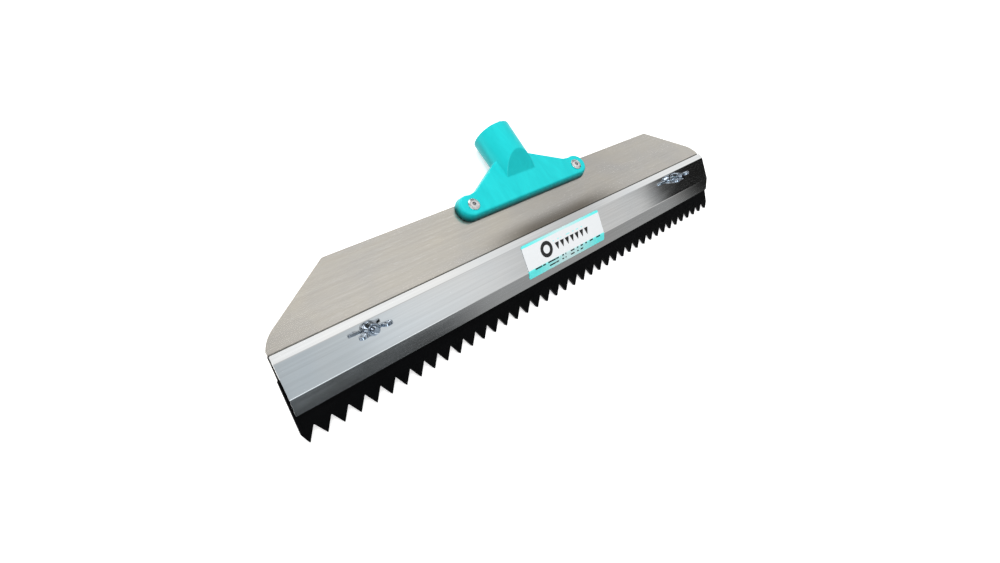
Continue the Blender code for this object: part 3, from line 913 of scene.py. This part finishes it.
def body_steel():
    """The plate's warm satin sheet, with a painted reflection of the socket's dark front, and a
    painted shade line where the clamp meets it.
    """
    shader, colour, roughness = stainless(
        "stainless_body", (0.64, 0.60, 0.525), (0.585, 0.57, 0.545), 0.24, 0.004 * MM, 0.08 * MM
    )
    x = shader.axis("X")
    y = shader.axis("Y")
    # Painted reflection: a dark brownish smear on the plate between the clamp and the socket, in
    # place of the socket's dark front mirrored there
    reflection_across = shader.band(x, 12.0 * MM, 24.0 * MM, 70.0 * MM)
    socket_reflection = shader.times(reflection_across, shader.band(y, CLAMP_BACK[0], 2.0 * MM, 13.0 * MM))
    colour = shader.mix(shader.times(socket_reflection, 0.88), colour, (0.17, 0.15, 0.125))
    # Painted shade: a patchy near-black line along the clamp's back edge, stronger towards the
    # right, in place of the shadow in the gap; it also roughens the sheet there
    seam = shader.band(y, CLAMP_BACK[0], 0.55 * MM, 1.0 * MM)
    patchy = shader.noise(5.0 * MM, (5.0, 1.0, 1.0), 3.0, 0.6, off=21.0)
    painted_gap_shade = shader.times(seam, shader.span(patchy, 0.1, 0.8, 0.65, 1.0))
    painted_gap_shade = shader.times(painted_gap_shade, shader.span(x, -80.0 * MM, 120.0 * MM, 0.75, 1.0))
    colour = shader.mix(painted_gap_shade, colour, (0.014, 0.013, 0.012))
    roughness = shader.math("ADD", roughness, shader.times(painted_gap_shade, 0.25))
    shader.set(Base_Color=colour, Roughness=roughness)
    return shader.material


def clamp_steel():
    """The clamp's bright, almost mirror-like sheet, with a painted highlight along its lower bend.
    """
    shader, colour, roughness = stainless(
        "stainless_clamp", (0.93, 0.93, 0.915), (0.87, 0.90, 0.915), 0.085, 0.0015 * MM, 0.05 * MM
    )
    # Painted highlight: a broken pale line along the bend between the face and the lower lip
    bend_highlight_band = shader.band(shader.axis("Y"), face_point(FACE[0]).y, 0.35 * MM, 0.5 * MM)
    broken = shader.noise(3.0 * MM, (9.0, 1.0, 1.0), 3.0, 0.6, off=31.0)
    painted_bend_highlight = shader.times(bend_highlight_band, shader.span(broken, 0.2, 0.7, 0.3, 1.0))
    colour = shader.mix(shader.times(painted_bend_highlight, 0.6), colour, (0.97, 0.97, 0.96))
    shader.set(Base_Color=colour, Roughness=roughness)
    return shader.material


def rubber():
    """Matt black rubber with a fine skin, a cloudy bloom and faint rubbing marks."""
    shader = Shader("rubber")
    skin = shader.noise(0.35 * MM, (1.0, 1.0, 1.0), 4.0, 0.65)
    rubs = shader.noise(2.2 * MM, (14.0, 1.0, 1.0), 3.0, 0.6, 0.4, off=4.0)
    bloom = shader.noise(18.0 * MM, (1.8, 1.0, 1.0), 3.0, 0.6, off=9.0)
    bloomed = shader.span(bloom, 0.3, 1.0, 0.0, 1.0)
    colour = shader.mix(bloomed, (0.0011, 0.0012, 0.0015), (0.0022, 0.0023, 0.0027))
    colour = shader.mix(shader.span(rubs, 0.75, 1.0, 0.0, 0.5), colour, (0.006, 0.006, 0.0065))
    roughness = shader.span(rubs, 0.0, 1.0, 0.50, 0.66)
    roughness = shader.math("ADD", roughness, shader.span(bloom, 0.0, 1.0, 0.0, 0.08))
    shader.set(Base_Color=colour, Roughness=roughness, Normal=shader.bump(skin, 0.02 * MM))
    shader.set(Specular_IOR_Level=0.05)
    return shader.material


def moulded_plastic():
    """Turquoise polypropylene: satin skin, flow streaks, paler edges, and painted shade in creases
    and low on the front walls.
    """
    shader = Shader("turquoise_plastic")
    skin = shader.noise(0.28 * MM, (1.0, 1.0, 1.0), 4.0, 0.6)
    orange_peel = shader.noise(1.8 * MM, (1.0, 1.0, 1.0), 2.0, 0.5, off=2.0)
    flow = shader.noise(9.0 * MM, (1.0, 3.5, 1.0), 3.0, 0.6, 1.2, off=6.0)
    colour = shader.mix(flow, (0.004, 0.540, 0.565), (0.009, 0.620, 0.640))
    pointiness = shader.add("ShaderNodeNewGeometry").outputs["Pointiness"]
    edge = shader.span(pointiness, 0.515, 0.56, 0.0, 1.0)
    patchy = shader.noise(2.5 * MM, (1.0, 1.0, 1.0), 3.0, 0.6, off=15.0)
    worn = shader.times(edge, shader.span(patchy, 0.3, 0.8, 0.1, 0.5))
    colour = shader.mix(worn, colour, (0.18, 0.78, 0.79))
    # Painted shade: concave creases darkened where pointiness is low
    crease_shade = shader.span(pointiness, 0.44, 0.49, 1.0, 0.0)
    colour = shader.mix(shader.times(crease_shade, 0.35), colour, (0.003, 0.30, 0.33))
    # Painted shade: the base's walls darkened towards the foot, fully at the front and less on the
    # tube, in place of the shadow low on the front wall
    foot = shader.span(shader.axis("Z"), 1.0 * MM, 6.0 * MM, 0.92, 0.0, smooth=True)
    front = shader.span(shader.axis("Y"), TUBE_FRONT - 4 * MM, TUBE_FRONT, 1.0, 0.25)
    colour = shader.mix(shader.times(foot, front), colour, (0.002, 0.045, 0.045))
    roughness = shader.span(orange_peel, 0.0, 1.0, 0.33, 0.41)
    roughness = shader.math("ADD", roughness, shader.times(worn, 0.2))
    normal = shader.bump(orange_peel, 0.02 * MM)
    normal = shader.bump(skin, 0.006 * MM, normal)
    shader.set(Base_Color=colour, Roughness=roughness, Normal=normal)
    shader.set(Specular_IOR_Level=0.22)
    return shader.material


def plated(name, dark, light, rough, depth):
    """The metal of a small fastener: slight cast dimples, cloudy tint, dull spots."""
    shader = Shader(name)
    dimple = shader.noise(0.9 * MM, (1.0, 1.0, 1.0), 3.0, 0.55)
    cloud = shader.noise(2.6 * MM, (1.0, 1.0, 1.0), 3.0, 0.6, 0.8, off=8.0)
    speck = shader.noise(0.5 * MM, (1.0, 1.0, 1.0), 2.0, 0.5, off=17.0)
    speck = shader.span(speck, 0.8, 1.0, 0.0, 0.5)
    colour = shader.mix(cloud, dark, light)
    colour = shader.mix(speck, colour, tuple(0.45 * c for c in dark))
    roughness = shader.span(cloud, 0.0, 1.0, rough - 0.04, rough + 0.07)
    roughness = shader.math("ADD", roughness, shader.times(speck, 0.3))
    normal = shader.bump(dimple, depth)
    shader.set(Base_Color=colour, Roughness=roughness, Metallic=1.0, Normal=normal)
    return shader.material


def label_print():
    """The label's generic print: two bands, a ring, a row of notch teeth and broken bars.

    It holds no letters. Places are across from the middle and down from the upper edge.
    """
    shader = Shader("label_film")
    mapped = shader.add("ShaderNodeUVMap", uv_map="print").outputs["UV"]
    across = shader.axis("X", mapped)
    down = shader.axis("Y", mapped)
    from_middle = shader.math("ABSOLUTE", across)
    white = (0.90, 0.93, 0.95)
    teal = (0.15, 0.98, 0.96)
    ink = (0.006, 0.007, 0.008)
    fade = 0.12 * MM
    full_width = 1.0

    def box(centre_x, centre_y, half_x, half_y):
        inside_x = shader.band(across, centre_x, half_x, fade)
        return shader.times(inside_x, shader.band(down, centre_y, half_y, fade))

    paper = shader.noise(12.0 * MM, (1.0, 1.0, 1.0), 2.0, 0.5)
    colour = shader.mix(shader.span(paper, 0.0, 1.0, 0.0, 0.25), white, (0.88, 0.90, 0.92))

    # Bands along both edges, paler towards the middle
    for centre, half, full_at, palest in (
        (0.0, 2.1 * MM, 38.0 * MM, 0.35),
        (25.0 * MM, 4.9 * MM, 36.0 * MM, 0.30),
    ):
        strength = shader.span(from_middle, 4.0 * MM, full_at, palest, 1.0)
        band = shader.times(box(0.0, centre, full_width, half), strength)
        colour = shader.mix(band, colour, teal)

    # A row of seven teeth, points down
    pitch = 5.9 * MM
    first_point = -15.5 * MM
    zigzag = shader.math("PINGPONG", shader.math("ADD", across, -first_point), pitch / 2)
    depth = shader.span(zigzag, 0.0, pitch / 2, 15.4 * MM, 7.4 * MM)
    under = shader.span(shader.math("SUBTRACT", depth, down), 0.0, fade, 0.0, 1.0)
    row_start = first_point + pitch / 2
    row = box(row_start + 3.5 * pitch, 11.9 * MM, 3.5 * pitch, 2.8 * MM)
    colour = shader.mix(shader.times(under, row), colour, ink)

    # A ring left of it
    from_ring = shader.add("ShaderNodeVectorMath", operation="DISTANCE")
    shader.feed(from_ring.inputs[0], mapped)
    from_ring.inputs[1].default_value = (-21.6 * MM, 10.6 * MM, 0.0)
    ring_line = shader.band(from_ring.outputs["Value"], 4.9 * MM, 1.5 * MM, fade)
    colour = shader.mix(ring_line, colour, ink)

    # Broken bars where small print would be
    gaps = shader.noise(2.6 * MM, (1.0, 1000.0, 1000.0), 0.0, 0.0, off=2.0)
    words = shader.span(gaps, 0.30, 0.34, 0.0, 1.0)
    for centre, middle, half, thick, strength, shade in (
        (6.0 * MM, 7.0 * MM, 19.0 * MM, 0.40 * MM, 0.6, teal),
        (0.7 * MM, 20.9 * MM, 39.0 * MM, 0.55 * MM, 1.0, ink),
        (-1.2 * MM, 24.0 * MM, 21.5 * MM, 0.55 * MM, 1.0, ink),
    ):
        bar = shader.times(words, box(centre, middle, half, thick))
        colour = shader.mix(shader.times(bar, strength), colour, shade)

    ripple = shader.noise(6.0 * MM, (1.0, 1.0, 1.0), 2.0, 0.5, off=13.0)
    grain = shader.noise(0.3 * MM, (1.0, 1.0, 1.0), 2.0, 0.5, off=5.0)
    roughness = shader.span(grain, 0.0, 1.0, 0.20, 0.28)
    shader.set(Base_Color=colour, Roughness=roughness, Normal=shader.bump(ripple, 0.015 * MM))
    return shader.material


def floor_paint():
    """Pale matt paint that glows a little to the camera and in mirrors, like an overlit floor."""
    shader = Shader("pale_floor")
    cloud = shader.noise(300.0 * MM, (1.0, 1.0, 1.0), 2.0, 0.5)
    fine = shader.noise(2.0 * MM, (1.0, 1.0, 1.0), 3.0, 0.5, off=3.0)
    colour = shader.mix(cloud, (0.93, 0.93, 0.93), (0.95, 0.95, 0.95))
    shader.set(Base_Color=colour, Roughness=shader.span(fine, 0.0, 1.0, 0.65, 0.75))
    rays = shader.add("ShaderNodeLightPath").outputs
    shown = shader.math("MAXIMUM", rays["Is Camera Ray"], rays["Is Glossy Ray"])
    glow = shader.times(shown, FLOOR_GLOW)
    shader.set(Emission_Color=(1.0, 1.0, 1.0), Emission_Strength=glow)
    return shader.material


# ---------------------------------------------------------------- studio

def make_floor():
    bm = bmesh.new()
    bmesh.ops.create_grid(bm, x_segments=1, y_segments=1, size=FLOOR_REACH)
    mesh = bpy.data.meshes.new("floor")
    bm.to_mesh(mesh)
    bm.free()
    floor = bpy.data.objects.new("floor", mesh)
    bpy.context.scene.collection.objects.link(floor)
    mesh.materials.append(floor_paint())


def make_world():
    """A softly lit room, whose mirrored side is a tent with a dark front, patches and panels."""
    world = bpy.data.worlds.new("studio")
    world.use_nodes = True
    world.cycles.sampling_method = "NONE"
    bpy.context.scene.world = world
    world.node_tree.nodes.clear()
    sky = Nodes(world.node_tree)
    direction = sky.add("ShaderNodeTexCoord").outputs["Generated"]
    parts = sky.add("ShaderNodeSeparateXYZ")
    sky.feed(parts.inputs[0], direction)
    x, y, z = parts.outputs

    def smooth(value, low, high, to_low, to_high):
        return sky.span(value, low, high, to_low, to_high, smooth=True)

    def spot(towards, full, gone):
        """1 within full degrees of a direction, 0 beyond gone degrees."""
        node = sky.add("ShaderNodeVectorMath", operation="DOT_PRODUCT")
        sky.feed(node.inputs[0], direction)
        node.inputs[1].default_value = Vector(towards).normalized()
        edges = [math.cos(math.radians(angle)) for angle in (gone, full)]
        return smooth(node.outputs["Value"], *edges, 0.0, 1.0)

    # The tent: a dim skirt, a bright edge, then its wall; skirt and edge stop short at the right
    lean = sky.math("ADD", z, sky.times(y, 0.35))
    reach = smooth(x, 0.80, 0.845, 1.0, 0.04)
    skirt = sky.times(smooth(x, 0.41, 0.55, 0.065, 0.305), reach)
    edge = sky.times(reach, smooth(x, 0.42, 0.52, 1.3, 0.62))
    tent = sky.blend(smooth(lean, -0.02, 0.09, 0.0, 1.0), skirt, edge)
    wall = smooth(y, 0.0, 0.2, 0.60, 0.56)
    tent = sky.blend(smooth(lean, 0.26, 0.37, 0.0, 1.0), tent, wall)
    for towards, full, gone, level in PATCHES:
        tent = sky.math("ADD", tent, sky.times(spot(towards, full, gone), level))
    tent = sky.times(tent, smooth(x, 0.0, 0.16, 0.42, 1.0))
    tent = sky.times(tent, smooth(y, 0.45, 0.65, 1.0, 0.42))
    for towards, full, gone, level in PANELS:
        tent = sky.blend(spot(towards, full, gone), tent, level)

    # Matt surfaces get a plain gradient, and the camera a pale backdrop
    rays = sky.add("ShaderNodeLightPath").outputs
    gradient = smooth(sky.math("ADD", z, sky.times(y, 0.5)), -0.1, 0.8, 0.12, 0.95)
    level = sky.blend(rays["Is Glossy Ray"], gradient, tent)
    level = sky.blend(rays["Is Camera Ray"], level, BACKDROP)
    cool = sky.times(smooth(y, -0.2, -0.5, 0.0, 1.0), smooth(x, 0.6, 0.2, 0.0, 1.0))
    cool = sky.times(cool, rays["Is Glossy Ray"])
    background = sky.add("ShaderNodeBackground")
    sky.feed(background.inputs["Color"], sky.mix(cool, (1.0, 1.0, 1.0), (0.92, 1.0, 1.06)))
    sky.feed(background.inputs["Strength"], level)
    output = sky.add("ShaderNodeOutputWorld")
    sky.feed(output.inputs["Surface"], background.outputs[0])


def make_key_light():
    data = bpy.data.lights.new("key", "AREA")
    data.shape = "DISK"
    data.size = KEY_SIZE
    data.energy = KEY_POWER
    light = bpy.data.objects.new("key", data)
    light.location = KEY_PLACE
    towards = Vector(KEY_AIM) - Vector(KEY_PLACE)
    light.rotation_euler = towards.to_track_quat("-Z", "Y").to_euler()
    light.visible_glossy = False
    bpy.context.scene.collection.objects.link(light)


def make_camera():
    data = bpy.data.cameras.new("camera")
    data.sensor_width = 36.0
    data.lens = CAMERA_LENS
    data.clip_start = 0.01
    camera = bpy.data.objects.new("camera", data)
    forward = (Vector(CAMERA_AIM) - Vector(CAMERA_PLACE)).normalized()
    right = forward.cross(Vector((0.0, 0.0, 1.0))).normalized()
    up = right.cross(forward)
    turn = Matrix((right, up, -forward)).transposed().to_4x4()
    roll = Matrix.Rotation(math.radians(CAMERA_ROLL), 4, "Z")
    camera.matrix_world = Matrix.Translation(CAMERA_PLACE) @ turn @ roll
    bpy.context.scene.collection.objects.link(camera)
    bpy.context.scene.camera = camera


# ---------------------------------------------------------------- assembly

def fit(obj, material, body, node):
    """Gives a finished piece its material, and puts it in place of its CAD node."""
    obj.data.materials.clear()
    obj.data.materials.append(material)
    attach(obj, body)
    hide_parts(node)


def main():
    fit(make_body_plate(), body_steel(), "body", "body_plate")
    fit(make_clamp_plate(), clamp_steel(), "clamp", "clamp_plate")
    fit(make_blade(), rubber(), "blade", "toothed_blade")
    fit(make_socket(), moulded_plastic(), "body", "handle_socket")
    fit(make_label(), label_print(), "clamp", "label")
    zinc = plated("zinc_plate", (0.20, 0.24, 0.30), (0.54, 0.62, 0.71), 0.06, 0.004 * MM)
    washer_zinc = plated("washer_zinc", (0.34, 0.38, 0.44), (0.52, 0.57, 0.63), 0.16, 0.004 * MM)
    aluminium = plated("rivet_aluminium", (0.84, 0.84, 0.84), (0.93, 0.93, 0.92), 0.26, 0.006 * MM)
    pin_steel = plated("mandrel_steel", (0.20, 0.20, 0.21), (0.38, 0.38, 0.40), 0.36, 0.03 * MM)
    for name, side in (("left", -1), ("right", 1)):
        fit(make_rivet_body(name, side), aluminium, "body", f"rivet_body_{name}")
        fit(make_mandrel(name, side), pin_steel, "body", f"rivet_mandrel_{name}")
        fit(make_bolt(name, side), zinc, "body", f"clamp_bolt_{name}")
        fit(make_washer(name, side), washer_zinc, "clamp", f"flat_washer_{name}")
        fit(make_wing_nut(name, side), zinc, f"nut_{name}", f"wing_nut_{name}")
    make_floor()
    make_world()
    make_key_light()
    make_camera()
    bpy.context.scene.view_settings.view_transform = "Standard"


main()
